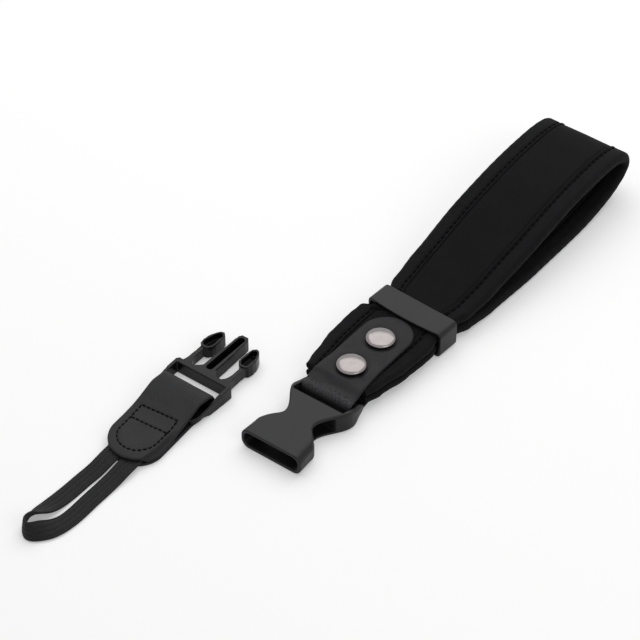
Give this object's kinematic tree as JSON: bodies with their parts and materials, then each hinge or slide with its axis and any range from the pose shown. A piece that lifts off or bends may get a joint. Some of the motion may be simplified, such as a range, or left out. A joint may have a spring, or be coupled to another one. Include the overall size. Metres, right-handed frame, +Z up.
{
  "type": "camera hand grip strap",
  "caption": "Padded wrist loop with sliding keeper, riveted leather tab and side release socket, beside its plug with a stitched leather tab and woven lug loop.",
  "frame": {"origin": "on the socket's flat underside, on its centre line, 7 mm behind the mouth", "axes": "+Y along the loop half, from the socket's mouth to the far fold; +Z up from the surface it lies on; the connector half lies on the -X side"},
  "size_m": [0.0853, 0.3235, 0.0261],
  "materials": {
    "padding": "matt jersey over neoprene",
    "binding": "ribbed binding tape",
    "leather": "fine grain, satin",
    "nickel": "polished nickel plate",
    "plastic": "satin moulded acetal",
    "plug_plastic": "semi gloss moulded acetal",
    "webbing": "flat woven tape with lengthwise ribs"
  },
  "bodies": {
    "strap": {"wrist_band": "padding", "edge_binding_left": "binding", "edge_binding_right": "binding", "socket_tab": "leather", "rivet_cap_front": "nickel", "rivet_cap_rear": "nickel", "rivet_base_front": "nickel", "rivet_base_rear": "nickel"},
    "keeper": {"keeper": "plastic"},
    "socket": {"socket": "plastic"},
    "connector": {"plug_frame": "plug_plastic", "connector_tab": "leather", "lug_loop": "webbing"},
    "latch_arm_left": {"latch_arm_left": "plug_plastic"},
    "latch_arm_right": {"latch_arm_right": "plug_plastic"}
  },
  "joints": [
    {"name": "keeper_slide", "type": "slide", "parent": "strap", "child": "keeper", "axis": [0, 1, 0], "range_m": [0, 0.05], "deforming": ["wrist_band", "edge_binding_left", "edge_binding_right"]},
    {"name": "socket_pivot", "type": "hinge", "parent": "strap", "child": "socket", "pos_m": [0, 0.0325, 0.0048], "axis": [1, 0, 0], "range_deg": [-60, 60]},
    {"name": "connector_pull", "type": "slide", "parent": "strap", "child": "connector", "axis": [0, -1, 0], "range_m": [0, 0.06]},
    {"name": "latch_flex_left", "type": "hinge", "parent": "connector", "child": "latch_arm_left", "pos_m": [-0.0592, 0.0126, 0.0034], "axis": [0, 0, -1], "range_deg": [0, 7], "stiffness_Nm_per_rad": 1.2},
    {"name": "latch_flex_right", "type": "hinge", "parent": "connector", "child": "latch_arm_right", "pos_m": [-0.0384, 0.0126, 0.0034], "axis": [0, 0, 1], "range_deg": [0, 7], "stiffness_Nm_per_rad": 1.2}
  ]
}
